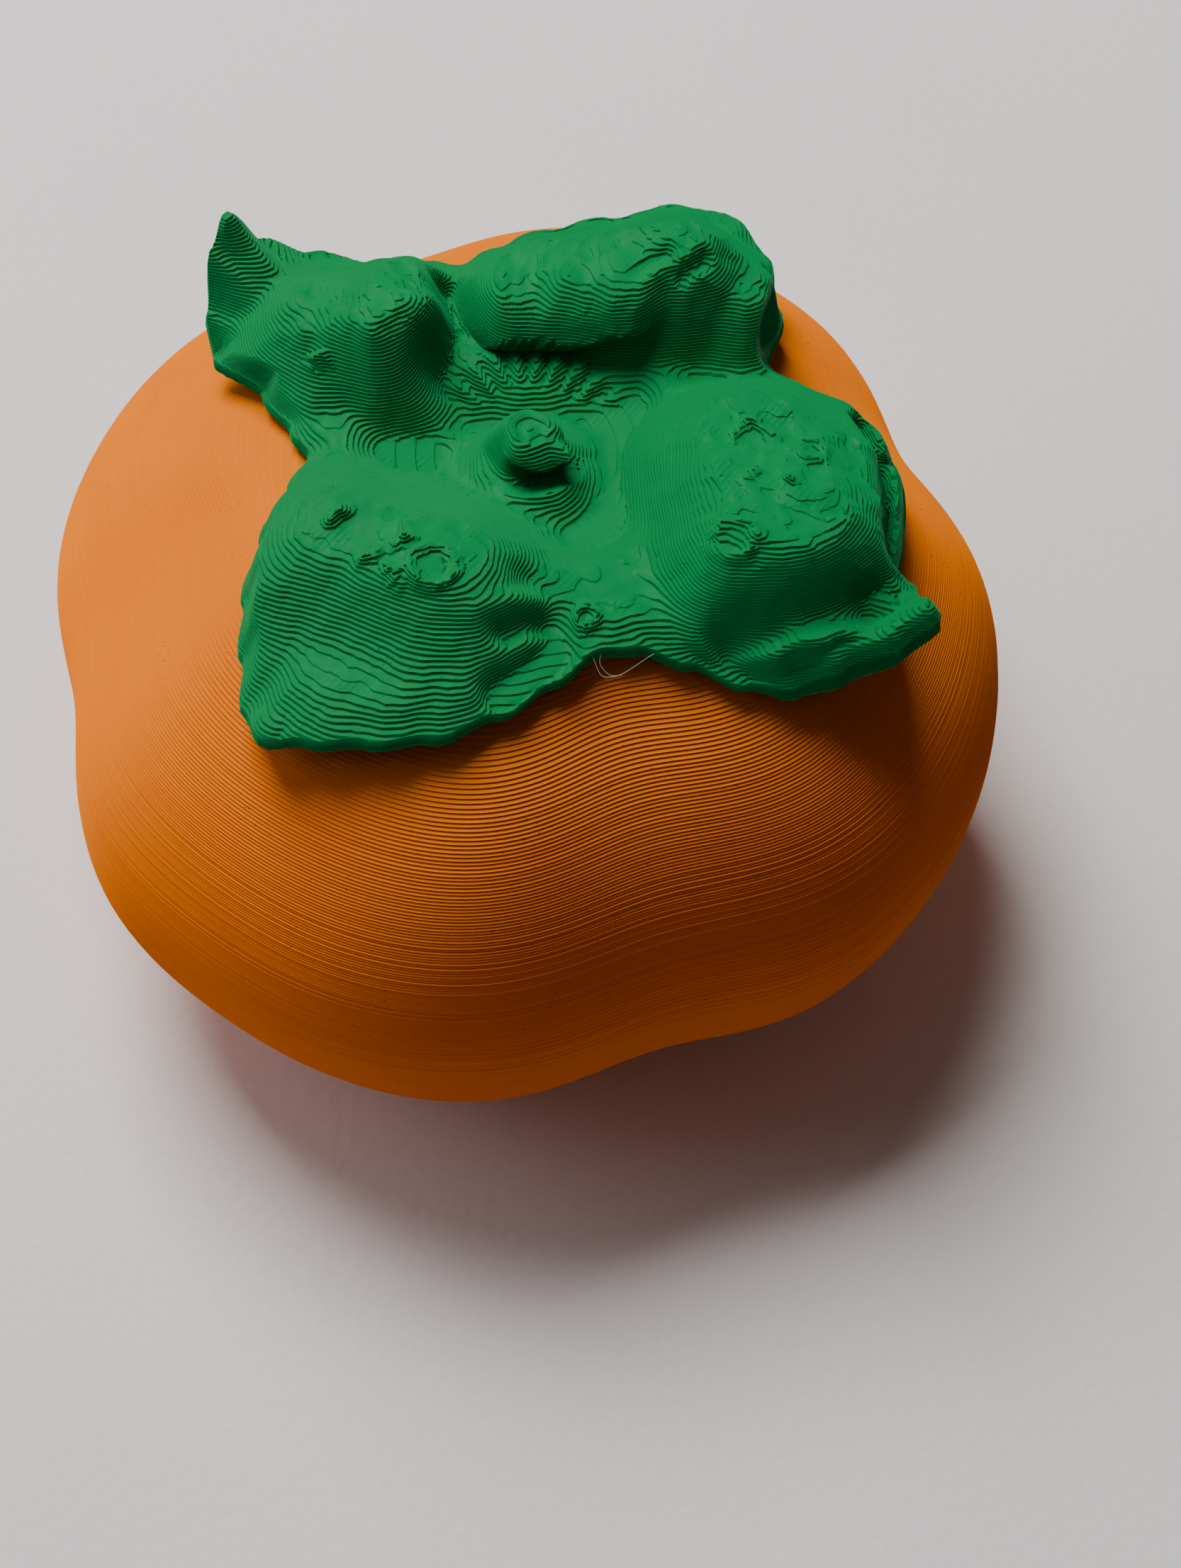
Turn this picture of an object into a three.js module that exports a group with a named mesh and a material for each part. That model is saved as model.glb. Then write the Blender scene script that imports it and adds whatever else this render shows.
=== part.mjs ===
// Persimmon-shaped pin pot: a printed fruit shell, its printed calyx lid and the soft pin pad inside.
// Millimetres, +Z up. The origin is the middle of the flat base, on the surface the pot stands on.
// Azimuths are in degrees about +Z from +X, and the front of the fruit is at 270.

import * as THREE from 'three';

// ---- Fruit shell -----------------------------------------------------------------------------
const FRUIT_WIDTH = 71.5;        // across the widest ring, over the lobes
const WIDEST_HEIGHT = 18;        // height of that ring above the base
const SHOULDER_RISE = 25.2;      // how far the shoulders rise above the widest ring
const BELLY_DROP = 19.4;         // how far the side would run below it if the base didn't cut it flat
const SHOULDER_FULLNESS = 0.82;  // under 1 makes the curve from ring to shoulder boxier than an ellipse
const BELLY_FULLNESS = 0.7;
const DISH_DEPTH = 3.2;          // the top dips around the calyx
const DISH_RADIUS = 12;
const WALL = 2.4;
const MOUTH_RADIUS = 12;
const GROOVES = [                // furrows between the four lobes: azimuth, depth, and half width in degrees
  { azimuth: 22, depth: 2.8, spread: 14 },
  { azimuth: 110, depth: 3.0, spread: 20 },
  { azimuth: 190, depth: 2.6, spread: 16 },
  { azimuth: 288, depth: 3.0, spread: 17 },
];
const GROOVE_REACH = 12;         // furrows fade out over this much beyond the mouth

// ---- Calyx lid -------------------------------------------------------------------------------
const LID_CLEARANCE = 0.4;       // lid underside to fruit
const SPIGOT_CLEARANCE = 0.4;    // spigot to mouth, all round
const SPIGOT_DEPTH = 4;
const SPIGOT_WALL = 1.8;
const LEAF_THICKNESS = 1.8;
const HUB_OVERHANG = 0.6;        // the hub rests on the rim this far beyond the mouth
const LEAF_LEAST = 0.8;          // least reach of a leaf past the hub
const STEM_RADIUS = 1.7;
const STEM_HEIGHT = 4.6;         // above the disc's middle
const STEM_FOOT_RADIUS = 4;
const HOLLOW_RADIUS = 8.5;       // sunken disc round the stem
const HOLLOW_DROP = 1.6;
const DISC_THICKNESS = 1.4;
// The leaf edge all round: azimuth, radius, and how far it curls up off the fruit.
const LEAF_EDGE = [
  [24, 19.2, 0.2], [38, 23.6, 0.8], [46, 26.0, 3.0], [54, 27.0, 4.5], [62, 25.5, 4.0],
  [73, 22.5, 2.0], [84, 20.6, 1.0], [95, 18.8, 0.3], [103, 17.4, 0.0], [111, 18.3, 0.5],
  [122, 20.2, 1.5], [131, 23.0, 3.5], [138, 25.2, 6.5], [143, 26.0, 10.5], [148, 25.8, 9.0],
  [153, 24.8, 5.0], [157, 23.0, 1.5], [163, 18.2, 0.3], [174, 15.4, 0.0], [183, 14.0, 0.0],
  [194, 15.8, 0.0], [203, 18.5, 0.0], [213, 21.4, 0.0], [221, 23.6, 0.0], [227, 25.6, 0.2],
  [231, 25.8, 0.3], [237, 24.6, 0.0], [246, 23.4, 0.0], [256, 22.4, 0.0], [267, 20.5, 0.0],
  [277, 18.7, 0.0], [288, 17.2, 0.0], [296, 17.9, 0.0], [304, 20.2, 0.0], [310, 23.0, 0.2],
  [316, 25.3, 0.6], [322, 27.2, 2.5], [328, 29.8, 6.0], [333, 30.9, 8.5], [337, 28.4, 5.0],
  [342, 26.7, 1.5], [352, 26.6, 1.0], [361, 26.4, 0.8], [368, 24.6, 0.5], [375, 21.6, 0.2],
];
// Swellings of the four leaves: azimuth, radius, height above the leaf, and their spread.
const LEAF_HUMPS = [
  { azimuth: 52, radius: 17.5, height: 6.2, spread: 5.6 },
  { azimuth: 76, radius: 15.0, height: 4.0, spread: 4.5 },
  { azimuth: 93, radius: 13.8, height: 2.4, spread: 3.2 },
  { azimuth: 143, radius: 16.5, height: 5.4, spread: 5.0 },
  { azimuth: 231, radius: 16.8, height: 3.8, spread: 5.6 },
  { azimuth: 253, radius: 15.2, height: 3.2, spread: 4.6 },
  { azimuth: 334, radius: 18.0, height: 6.2, spread: 5.6 },
];

// ---- Pin pad ---------------------------------------------------------------------------------
const PAD_CLEARANCE = 6.35;      // pad to the inside of the deepest furrow, room to set the pad in
const DEEPEST_GROOVE = Math.max(...GROOVES.map((groove) => groove.depth));
const PAD_RADIUS = FRUIT_WIDTH / 2 - WALL - DEEPEST_GROOVE - PAD_CLEARANCE;
const PAD_HEIGHT = 20;
const PAD_FULLNESS = 0.7;
const COVER_THICKNESS = 0.8;
const GATHER_RADIUS = 5;         // hole left in the cover's underside where it is drawn in
const THREAD_RADIUS = 0.4;
const CARD_INSET = 9;            // pad's edge to the card's
const BASE_CARD_RADIUS = PAD_RADIUS - CARD_INSET;
const BASE_CARD_THICKNESS = 1.2;
const LAYER_GAP = 0.3;           // between pieces that touch

// ---- How finely the surfaces are cut ---------------------------------------------------------
const FRUIT_COLUMNS = 60;
const LID_COLUMNS = 84;
const PAD_COLUMNS = 28;
const SIDE_STEPS = 8;
const LEAF_ROWS = [0.2, 0.4, 0.6, 0.8, 1];
const TOP_ROWS = 1000;
const UNDER_ROWS = 2000;

const degrees = THREE.MathUtils.degToRad;
const smoothstep = THREE.MathUtils.smoothstep;

/** Half width of a soft-cornered curve at a height above (or below) its widest place. */
function curveRadius(halfWidth, rise, fullness, height) {
  const sine = Math.min(Math.abs(height) / rise, 1);
  return halfWidth * Math.pow(Math.sqrt(1 - sine * sine), fullness);
}

/** Height of the shoulder above the base at a radius, for the outside or, inset by the wall, the inside. */
function shoulderHeight(radius, inset = 0) {
  const across = Math.min(radius / (FRUIT_WIDTH / 2 - inset), 1);
  const cosine = Math.pow(across, 1 / SHOULDER_FULLNESS);
  const dish = DISH_DEPTH * Math.exp(-((radius / DISH_RADIUS) ** 2));
  return WIDEST_HEIGHT + (SHOULDER_RISE - inset) * Math.sqrt(1 - cosine * cosine) - dish;
}

/** One side of the shell's wall from the floor up to the mouth, as [radius, height] points. */
function wallCurve(inset) {
  const halfWidth = FRUIT_WIDTH / 2 - inset;
  const drop = BELLY_DROP - inset;
  const floorTurn = Math.asin((WIDEST_HEIGHT - inset) / drop);
  const points = [];
  for (let step = 0; step <= SIDE_STEPS; step++) {
    const below = drop * Math.sin(floorTurn * (1 - step / SIDE_STEPS));
    points.push([curveRadius(halfWidth, drop, BELLY_FULLNESS, below), WIDEST_HEIGHT - below]);
  }
  for (let step = 1; step <= SIDE_STEPS; step++) {
    const inward = 1 - Math.cos(Math.PI / 2 * step / SIDE_STEPS);
    const radius = THREE.MathUtils.lerp(halfWidth, MOUTH_RADIUS, inward);
    points.push([radius, shoulderHeight(radius, inset)]);
  }
  return points;
}

/** How far a furrow draws the surface in, at an azimuth in degrees and a radius. */
function grooveDepth(azimuth, radius) {
  const fade = smoothstep(radius, MOUTH_RADIUS + 2, MOUTH_RADIUS + GROOVE_REACH);
  let depth = 0;
  for (const groove of GROOVES) {
    const apart = Math.abs(((azimuth - groove.azimuth + 540) % 360) - 180);
    depth += groove.depth * Math.exp(-((apart / groove.spread) ** 2));
  }
  return depth * fade;
}

/** Turns a profile of [radius, height] points round +Z. */
function turned(profile, columns) {
  const points = profile.map(([radius, height]) => new THREE.Vector2(radius, height));
  return new THREE.LatheGeometry(points, columns).rotateX(Math.PI / 2);
}

/** Moves every vertex of a turned geometry; move(azimuth, radius, height) gives its new radius and height. */
function reshape(geometry, move) {
  const position = geometry.attributes.position;
  for (let index = 0; index < position.count; index++) {
    const x = position.getX(index);
    const y = position.getY(index);
    const radius = Math.hypot(x, y);
    const azimuth = (THREE.MathUtils.radToDeg(Math.atan2(y, x)) + 360) % 360;
    const [newRadius, newHeight] = move(azimuth, radius, position.getZ(index));
    const scale = radius > 0 ? newRadius / radius : 0;
    position.setXYZ(index, x * scale, y * scale, newHeight);
  }
  return geometry;
}

/** The hollow fruit: flat base, furrowed sides, and a round mouth in its top. */
function fruitShell() {
  const outside = wallCurve(0);
  const inside = wallCurve(WALL).reverse();
  const profile = [[0, 0], ...outside, ...inside, [0, WALL]];
  return reshape(turned(profile, FRUIT_COLUMNS), (azimuth, radius, height) =>
    [radius - grooveDepth(azimuth, radius), height]);
}

/** The leaf edge at an azimuth: its radius and its lift off the fruit. */
function leafEdge(azimuth) {
  const start = LEAF_EDGE[0][0];
  const turn = ((azimuth - start + 360) % 360) + start;
  const closed = [...LEAF_EDGE, [start + 360, LEAF_EDGE[0][1], LEAF_EDGE[0][2]]];
  const next = closed.findIndex(([at], index) => index > 0 && at >= turn);
  const [fromAzimuth, fromRadius, fromLift] = closed[next - 1];
  const [toAzimuth, toRadius, toLift] = closed[next];
  const share = smoothstep(turn, fromAzimuth, toAzimuth);
  return { radius: THREE.MathUtils.lerp(fromRadius, toRadius, share),
    lift: THREE.MathUtils.lerp(fromLift, toLift, share) };
}

/** Height that the leaves' swellings add at a place. */
function leafHump(azimuth, radius) {
  const x = radius * Math.cos(degrees(azimuth));
  const y = radius * Math.sin(degrees(azimuth));
  let height = 0;
  for (const hump of LEAF_HUMPS) {
    const apart = Math.hypot(x - hump.radius * Math.cos(degrees(hump.azimuth)),
      y - hump.radius * Math.sin(degrees(hump.azimuth)));
    height = Math.max(height, hump.height * Math.exp(-((apart / hump.spread) ** 2)));
  }
  return height;
}

/** The calyx: stem stub, sunken disc, four leaves over the shoulders, and a ring spigot below. */
function calyxLid() {
  const seat = shoulderHeight(MOUTH_RADIUS) + LID_CLEARANCE;
  const rimTop = seat + DISC_THICKNESS;
  const discTop = rimTop - HOLLOW_DROP;
  const spigotRadius = MOUTH_RADIUS - SPIGOT_CLEARANCE;
  const spigotFoot = seat - SPIGOT_DEPTH;
  const hubRadius = MOUTH_RADIUS + HUB_OVERHANG;
  const centre = [[0, discTop + STEM_HEIGHT], [STEM_RADIUS, discTop + STEM_HEIGHT],
    [STEM_RADIUS, discTop + STEM_HEIGHT / 2], [STEM_FOOT_RADIUS, discTop],
    [HOLLOW_RADIUS, discTop], [hubRadius, rimTop]];
  const discUnder = seat - HOLLOW_DROP;
  const spigot = [[hubRadius, seat], [spigotRadius, seat], [spigotRadius, spigotFoot],
    [spigotRadius - SPIGOT_WALL, spigotFoot], [spigotRadius - SPIGOT_WALL, discUnder], [0, discUnder]];

  // A leaf's rows stand in the profile at TOP_ROWS or UNDER_ROWS plus their share of the way to its edge.
  const leafTop = LEAF_ROWS.map((share) => [TOP_ROWS + share, 0]);
  const leafUnder = LEAF_ROWS.map((share) => [UNDER_ROWS + share, 0]).reverse();
  const profile = [...centre, ...leafTop, ...leafUnder, ...spigot].reverse();
  return reshape(turned(profile, LID_COLUMNS), (azimuth, row, height) => {
    if (row < TOP_ROWS) {
      const onHub = row === hubRadius && height === rimTop;
      return [row, height + (onHub ? leafHump(azimuth, row) : 0)];
    }
    const top = row < UNDER_ROWS;
    const share = row - (top ? TOP_ROWS : UNDER_ROWS);
    const edge = leafEdge(azimuth);
    const radius = THREE.MathUtils.lerp(hubRadius, Math.max(edge.radius, hubRadius + LEAF_LEAST), share);
    const under = shoulderHeight(radius) + LID_CLEARANCE + edge.lift * share * share;
    const swelling = LEAF_THICKNESS + leafHump(azimuth, radius) * (1 - share ** 6);
    return [radius, under + (top ? swelling : 0)];
  });
}

/** Outline of the crowned pad, drawn inwards by an inset, from the underside to the crown. */
function padCurve(inset, underRadius) {
  const bottom = WALL + 2 * LAYER_GAP + BASE_CARD_THICKNESS;
  const middle = bottom + PAD_HEIGHT / 2;
  const halfHeight = PAD_HEIGHT / 2 - inset;
  const points = [[underRadius, middle - halfHeight]];
  const first = Math.PI / 2 * 0.82;
  for (let step = 0; step <= 2 * SIDE_STEPS; step++) {
    const turn = THREE.MathUtils.lerp(-first, Math.PI / 2, step / (2 * SIDE_STEPS));
    const radius = (PAD_RADIUS - inset) * Math.pow(Math.cos(turn), PAD_FULLNESS);
    points.push([step === 2 * SIDE_STEPS ? 0 : radius, middle + halfHeight * Math.sin(turn)]);
  }
  return points;
}

/** Fabric cover of the pad, open below where it is gathered. */
function padCover() {
  const outside = padCurve(0, GATHER_RADIUS);
  const inside = padCurve(COVER_THICKNESS, GATHER_RADIUS).reverse();
  return turned([...outside, ...inside, outside[0]], PAD_COLUMNS);
}

/** Stuffing that fills the cover. */
function padFilling() {
  return turned(padCurve(COVER_THICKNESS + LAYER_GAP, 0), PAD_COLUMNS);
}

/** Card disc that the gathered cover is drawn down over, glued to the shell's floor. */
function padBase() {
  const middle = WALL + LAYER_GAP + BASE_CARD_THICKNESS / 2;
  return new THREE.CylinderGeometry(BASE_CARD_RADIUS, BASE_CARD_RADIUS, BASE_CARD_THICKNESS, PAD_COLUMNS)
    .rotateX(Math.PI / 2).translate(0, 0, middle);
}

/** Running thread that draws the cover in, lying in the gathered hole. */
function gatherThread() {
  const ringRadius = GATHER_RADIUS - LAYER_GAP - THREAD_RADIUS;
  const underside = WALL + 2 * LAYER_GAP + BASE_CARD_THICKNESS;
  return new THREE.TorusGeometry(ringRadius, THREAD_RADIUS, 6, PAD_COLUMNS)
    .translate(0, 0, underside + THREAD_RADIUS);
}

/** A named mesh with its own material. */
function piece(name, geometry, color, roughness) {
  const mesh = new THREE.Mesh(geometry, new THREE.MeshStandardMaterial({ color, roughness, metalness: 0 }));
  mesh.name = name;
  return mesh;
}

const pinPot = new THREE.Group();
pinPot.add(
  piece('fruit_shell', fruitShell(), 0xd97a12, 0.45),
  piece('calyx_lid', calyxLid(), 0x087a46, 0.4),
  piece('pad_cover', padCover(), 0xcfc3a6, 0.9),
  piece('pad_filling', padFilling(), 0xf1efe8, 0.95),
  piece('pad_base', padBase(), 0xa98f6b, 0.85),
  piece('gather_thread', gatherThread(), 0xd8d2c0, 0.8),
);

export default pinPot;
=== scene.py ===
"""Looks of the persimmon pin pot: printed fruit shell, printed calyx lid, and the cotton pin pad inside.

Everything is in metres in the part's own frame, +Z up, with the base at z = 0 and the front at -Y.
Sizes given in millimetres have names ending in _mm and are turned to metres where they are used.
Azimuths are in degrees about +Z from +X, so the front of the fruit is at 270.
"""

import logging
import math
from dataclasses import dataclass, field
from enum import Enum

import bpy
import numpy as np
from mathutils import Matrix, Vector, noise


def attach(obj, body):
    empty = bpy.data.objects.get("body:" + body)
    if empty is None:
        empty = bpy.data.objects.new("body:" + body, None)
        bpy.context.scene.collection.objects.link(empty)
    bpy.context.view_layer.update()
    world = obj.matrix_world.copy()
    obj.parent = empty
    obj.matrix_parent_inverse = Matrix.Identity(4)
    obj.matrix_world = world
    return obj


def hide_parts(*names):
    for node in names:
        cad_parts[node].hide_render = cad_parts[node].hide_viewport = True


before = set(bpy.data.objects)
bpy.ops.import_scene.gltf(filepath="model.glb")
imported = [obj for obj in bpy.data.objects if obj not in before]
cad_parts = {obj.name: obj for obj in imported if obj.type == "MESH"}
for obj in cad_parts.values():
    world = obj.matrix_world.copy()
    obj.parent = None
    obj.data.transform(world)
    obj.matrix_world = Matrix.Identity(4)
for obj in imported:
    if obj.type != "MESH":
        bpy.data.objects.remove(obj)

logging.basicConfig(level=logging.INFO, format="%(message)s")
log = logging.getLogger("pin_pot")

MM = 0.001
LAYER_MM = 0.18          # height of one printed layer
LINE_MM = 0.43           # width of one printed line
SHARP_ANGLE = 24         # edges of at least this angle, such as a step's, keep their crease when shaded
CLOTH_FRAMES = 20        # how long the pad's cover is blown up


# Small helpers
# ------------

def linear(hex_colour: str) -> tuple[float, float, float, float]:
    """Turns an sRGB hex colour into linear RGBA.

    Args:
        hex_colour: Colour such as "#d97a12".

    Returns:
        The same colour in linear light, with alpha 1.
    """
    values = [int(hex_colour[i:i + 2], 16) / 255 for i in (1, 3, 5)]
    turned = [v / 12.92 if v <= 0.04045 else ((v + 0.055) / 1.055) ** 2.4 for v in values]
    return (turned[0], turned[1], turned[2], 1.0)


def smooth(value: np.ndarray | float, low: float, high: float) -> np.ndarray:
    """Rises smoothly from 0 at low to 1 at high.

    Args:
        value: Numbers to map.
        low: Where the rise starts.
        high: Where it ends; below low, the result falls instead.

    Returns:
        Shares from 0 to 1.
    """
    share = np.clip((np.asarray(value, float) - low) / (high - low), 0, 1)
    return share * share * (3 - 2 * share)


def azimuths(count: int) -> np.ndarray:
    """Evenly spaced azimuths of a full turn, in radians, from +X anticlockwise."""
    return np.arange(count) * 2 * math.pi / count


def lobe(turn: np.ndarray, azimuth: float, spread: float) -> np.ndarray:
    """A rounded bump round one azimuth.

    Args:
        turn: Azimuths in radians.
        azimuth: Its middle, in degrees.
        spread: Its half width, in degrees.

    Returns:
        Shares from 0 to 1.
    """
    apart = (np.degrees(turn) - azimuth + 540) % 360 - 180
    return np.exp(-(apart / spread) ** 2)


def merged(heights: list[np.ndarray], softness: float) -> np.ndarray:
    """The highest of several surfaces at each place, rounded where two of them meet.

    Args:
        heights: The surfaces' heights.
        softness: How softly they flow together.

    Returns:
        The merged heights, never below the highest.
    """
    stacked = np.stack(heights)
    most = stacked.max(0)
    return most + softness * np.log(np.exp((stacked - most) / softness).sum(0))


def segment_distance(x: np.ndarray, y: np.ndarray, start: tuple[float, float],
                     end: tuple[float, float]) -> np.ndarray:
    """Distance in plan from points to a straight segment.

    Args:
        x: Plan x of the points.
        y: Plan y of the points.
        start: One end of the segment.
        end: The other end.

    Returns:
        The distances, in the points' own unit.
    """
    along = np.subtract(end, start)
    length = max(float(along @ along), 1e-9)
    share = np.clip(((x - start[0]) * along[0] + (y - start[1]) * along[1]) / length, 0, 1)
    return np.hypot(x - start[0] - share * along[0], y - start[1] - share * along[1])


def grain(points_mm: np.ndarray, size_mm: float, seed: float) -> np.ndarray:
    """Smooth noise from -1 to 1 with lumps of about a given size.

    Args:
        points_mm: N by 3 positions in millimetres.
        size_mm: Rough width of one lump.
        seed: Shifts the pattern, so that two uses differ.

    Returns:
        One value for each point.
    """
    shift = Vector((seed, 2.3 * seed, -1.7 * seed))
    return np.array([noise.noise(Vector(p) / size_mm + shift) for p in points_mm])


def mesh_object(name: str, vertices: np.ndarray, faces: list,
                is_smooth: bool = True) -> bpy.types.Object:
    """Makes a mesh object and links it to the scene.

    Args:
        name: Name of the object and its mesh.
        vertices: N by 3 positions in metres.
        faces: Lists or an array of vertex numbers.
        is_smooth: Whether the faces are shaded smooth.

    Returns:
        The new object.
    """
    mesh = bpy.data.meshes.new(name)
    rows = faces.tolist() if isinstance(faces, np.ndarray) else faces
    mesh.from_pydata(np.asarray(vertices, float).tolist(), [], rows)
    mesh.validate()
    mesh.polygons.foreach_set("use_smooth", [is_smooth] * len(mesh.polygons))
    mesh.set_sharp_from_angle(angle=math.radians(SHARP_ANGLE))
    mesh.update()
    piece = bpy.data.objects.new(name, mesh)
    bpy.context.scene.collection.objects.link(piece)
    return piece


def evaluated(piece: bpy.types.Object) -> bpy.types.Object:
    """The piece with its modifiers at work."""
    return piece.evaluated_get(bpy.context.evaluated_depsgraph_get())


def positions(mesh: bpy.types.Mesh) -> np.ndarray:
    """N by 3 positions of a mesh's vertices, in metres."""
    return np.array([vertex.co for vertex in mesh.vertices])


def ring_faces(first: int, second: int, columns: int) -> list:
    """Quads between two closed rings of equal size.

    Args:
        first: Number of the first vertex of one ring.
        second: Number of the first vertex of the next ring.
        columns: Vertices in each ring.

    Returns:
        The quads, turned so that they face out when the rings rise round +Z.
    """
    return [(first + i, first + (i + 1) % columns, second + (i + 1) % columns, second + i)
            for i in range(columns)]


def zipped(first: int, first_count: int, second: int, second_count: int) -> list:
    """Triangles between two closed rings of different size.

    Args:
        first: Number of the first vertex of one ring.
        first_count: Its vertices.
        second: Number of the first vertex of the next ring.
        second_count: Its vertices.

    Returns:
        The triangles, facing as ring_faces turns them.
    """
    faces = []
    i = j = 0
    while i < first_count or j < second_count:
        if j >= second_count or (i < first_count and (i + 1) * second_count <= (j + 1) * first_count):
            faces.append((first + i, first + (i + 1) % first_count, second + j % second_count))
            i += 1
        else:
            faces.append((first + i % first_count, second + (j + 1) % second_count, second + j))
            j += 1
    return faces


def sliced(points: np.ndarray, triangles: np.ndarray, column: int) -> tuple[np.ndarray, np.ndarray]:
    """Cuts a triangle mesh wherever one column of its points crosses a whole number.

    Args:
        points: N by K values of the points: positions first, then whatever else goes with them.
        triangles: M by 3 point numbers.
        column: The column to cut by.

    Returns:
        The points, with new ones along the cuts, and the triangles. The surface itself is unchanged.
    """
    near = 1e-4
    values = points[:, column]
    values[np.abs(values - np.round(values)) < near] += 2 * near
    done = []
    for level in range(math.ceil(values.min()), math.floor(values.max()) + 1):
        values = points[:, column]
        corner = values[triangles]
        below = corner.max(1) <= level
        done.append(triangles[below])
        triangles, corner = triangles[~below], corner[~below]
        crossing = corner.min(1) < level
        cut, up = triangles[crossing], corner[crossing] > level
        if not len(cut):
            continue
        # Turn each triangle so that its first corner is alone on its side of the cut.
        alone = np.where(up.sum(1) == 1, up.argmax(1), (~up).argmax(1))
        a, b, c = np.take_along_axis(cut, (alone[:, None] + np.arange(3)) % 3, 1).T
        edges = np.concatenate([np.sort(np.stack([a, b], 1), 1), np.sort(np.stack([a, c], 1), 1)])
        edges, number = np.unique(edges, axis=0, return_inverse=True)
        low, high = points[edges[:, 0]], points[edges[:, 1]]
        share = (level - low[:, column]) / (high[:, column] - low[:, column])
        fresh = low + (high - low) * share[:, None]
        fresh[:, column] = level
        first, second = (len(points) + number.reshape(-1)).reshape(2, -1)
        points = np.concatenate([points, fresh])
        tip = np.stack([a, first, second], 1)
        rest = np.concatenate([np.stack([first, b, c], 1), np.stack([first, c, second], 1)])
        tip_up = up[np.arange(len(up)), alone]
        done += [tip[~tip_up], rest[np.tile(tip_up, 2)]]
        triangles = np.concatenate([triangles[~crossing], tip[tip_up], rest[~np.tile(tip_up, 2)]])
    return points, np.concatenate(done + [triangles])


def vertex_normals(vertices: np.ndarray, triangles: np.ndarray) -> np.ndarray:
    """Area-weighted unit normals at the vertices.

    Args:
        vertices: N by 3 positions.
        triangles: M by 3 vertex numbers.

    Returns:
        N by 3 unit vectors.
    """
    a, b, c = (vertices[triangles[:, k]] for k in range(3))
    face = np.cross(b - a, c - a)
    total = np.zeros_like(vertices)
    for k in range(3):
        np.add.at(total, triangles[:, k], face)
    return total / np.maximum(np.linalg.norm(total, axis=1, keepdims=True), 1e-12)


def layered(points: np.ndarray, triangles: np.ndarray,
            bead_mm: float, level_share: float) -> tuple[np.ndarray, np.ndarray, np.ndarray]:
    """Turns a smooth closed form into the stair of layers that a filament printer makes of it.

    Args:
        points: N by 3 positions in millimetres.
        triangles: M by 3 point numbers.
        bead_mm: How far a bead bulges on upright walls.
        level_share: How much of a step is left on level places, where the nozzle irons the layer below.

    Returns:
        The stepped points, in millimetres, their triangles, and how level the form is at each point.
    """
    normals = vertex_normals(points, triangles)
    slope = np.hypot(normals[:, 0], normals[:, 1]) / np.maximum(normals[:, 2], 0.05)
    riser = np.clip(0.45 * slope, 0.07, 0.6)       # share of a step that its upright face takes in plan
    level = points[:, 2] / LAYER_MM
    data, triangles = sliced(np.column_stack([points, level, riser, normals]), triangles, 3)
    data, triangles = sliced(np.column_stack([data, data[:, 3] - data[:, 4]]), triangles, 8)
    step = np.floor(data[:, 3] + 1e-5)
    climb = data[:, 3] - step
    riser = data[:, 4]
    stair = (step + np.minimum(climb / riser, 1)) * LAYER_MM
    upright = 1 - smooth(data[:, 7], 0.12, 0.35)
    across = np.hypot(data[:, 5], data[:, 6])[:, None]
    bulge = 2 * np.minimum(climb / riser, (1 - climb) / (1 - riser)) - 1
    out = data[:, :3].copy()
    level_place = smooth(data[:, 7], 0.93, 0.985)
    out[:, 2] += (stair - out[:, 2]) * (1 - upright) * (1 - (1 - level_share) * level_place)
    out[:, :2] += data[:, 5:7] / np.maximum(across, 0.2) * (bead_mm * bulge * upright)[:, None]
    return out, triangles, smooth(data[:, 7], 0.955, 0.99)


def loft(rings: list[np.ndarray]) -> tuple[np.ndarray, np.ndarray]:
    """Joins rings of points into one closed triangle mesh.

    Args:
        rings: Each a K by 3 array that starts at azimuth 0 and runs anticlockwise; the first and last
            hold a single point, on the axis. The order runs up the outside, so the faces point out.

    Returns:
        The vertices and the triangles.
    """
    starts = np.cumsum([0] + [len(ring) for ring in rings])
    faces = []
    for k in range(len(rings) - 1):
        first, second = int(starts[k]), int(starts[k + 1])
        a, b = len(rings[k]), len(rings[k + 1])
        if a == 1:
            faces += [(first, second + (i + 1) % b, second + i) for i in range(b)]
        elif b == 1:
            faces += [(first + i, first + (i + 1) % a, second) for i in range(a)]
        else:
            faces += zipped(first, a, second, b)
    return np.concatenate(rings), np.array(faces)


def level_ring(radii: np.ndarray, height: float) -> np.ndarray:
    """A level ring about +Z, which may wave in and out.

    Args:
        radii: Its radius at each column.
        height: Its height.

    Returns:
        The ring's points.
    """
    turn = azimuths(len(radii))
    return np.stack([radii * np.cos(turn), radii * np.sin(turn), np.full(len(radii), height)], 1)


def turned_ring(radius: float, height: float, columns: int) -> np.ndarray:
    """A level round ring about +Z.

    Args:
        radius: Its radius; 0 gives a single point.
        height: Its height.
        columns: Its points.

    Returns:
        The ring's points.
    """
    if radius == 0:
        return np.array([[0.0, 0.0, height]])
    return level_ring(np.full(columns, float(radius)), height)


# Materials
# ------------

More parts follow.
